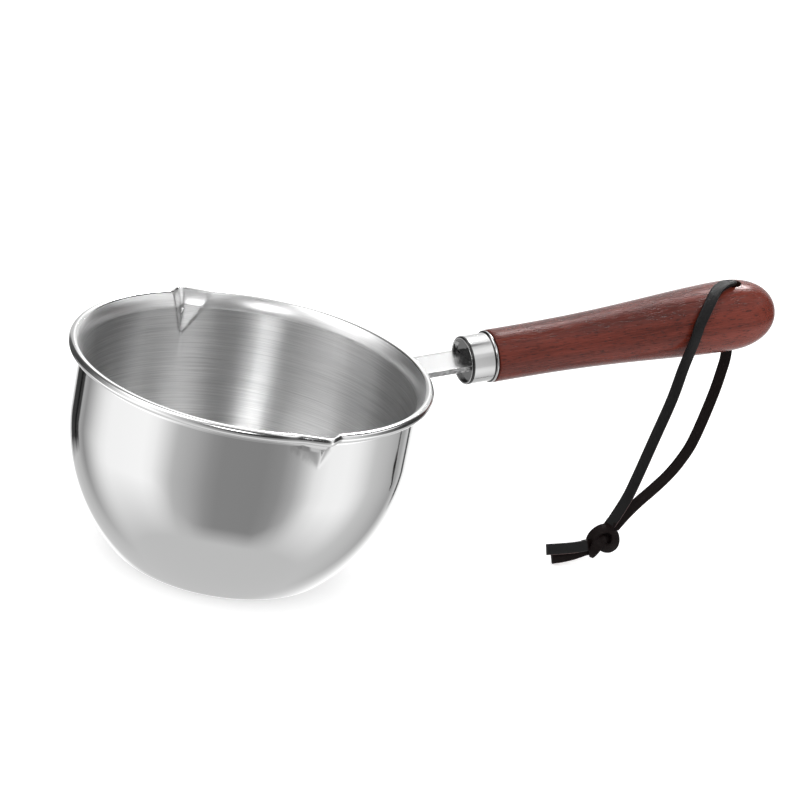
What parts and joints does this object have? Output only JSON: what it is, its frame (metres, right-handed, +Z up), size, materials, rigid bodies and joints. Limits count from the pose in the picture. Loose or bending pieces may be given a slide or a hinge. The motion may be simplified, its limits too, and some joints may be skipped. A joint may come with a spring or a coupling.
{
  "type": "hot oil pot",
  "caption": "Small round-bottomed steel hot oil pot with pressed pour spouts, a strap arm, a turned wooden handle and a leather hanging loop.",
  "frame": {"origin": "middle of the bowl's flat base, on its resting face", "axes": "+Z up, +X along the handle, so the pour spouts point along -Y and +Y"},
  "size_m": [0.2748, 0.1348, 0.106],
  "materials": {
    "satin_steel": "fine horizontal satin",
    "polished_steel": "polished",
    "plain_steel": "plain",
    "brass": "plain",
    "wood": "oiled, fine grain",
    "leather": "dark, worn"
  },
  "bodies": {
    "root": {"bowl": "satin_steel", "handle_strap": "satin_steel", "ferrule": "polished_steel", "wood_handle": "wood", "tang_stud": "plain_steel", "stud_insert": "brass", "lace_bight": "leather"},
    "hang_loop": {"lace_near_leg": "leather", "lace_far_leg": "leather", "lace_knot": "leather", "lace_tail_front": "leather", "lace_tail_back": "leather"}
  },
  "joints": [
    {"name": "loop_swing", "type": "hinge", "parent": "root", "child": "hang_loop", "pos_m": [0.19496, 0, 0.07605], "axis": [-0.8156, -0.4652, 0.344], "range_deg": [-20, 80]}
  ]
}
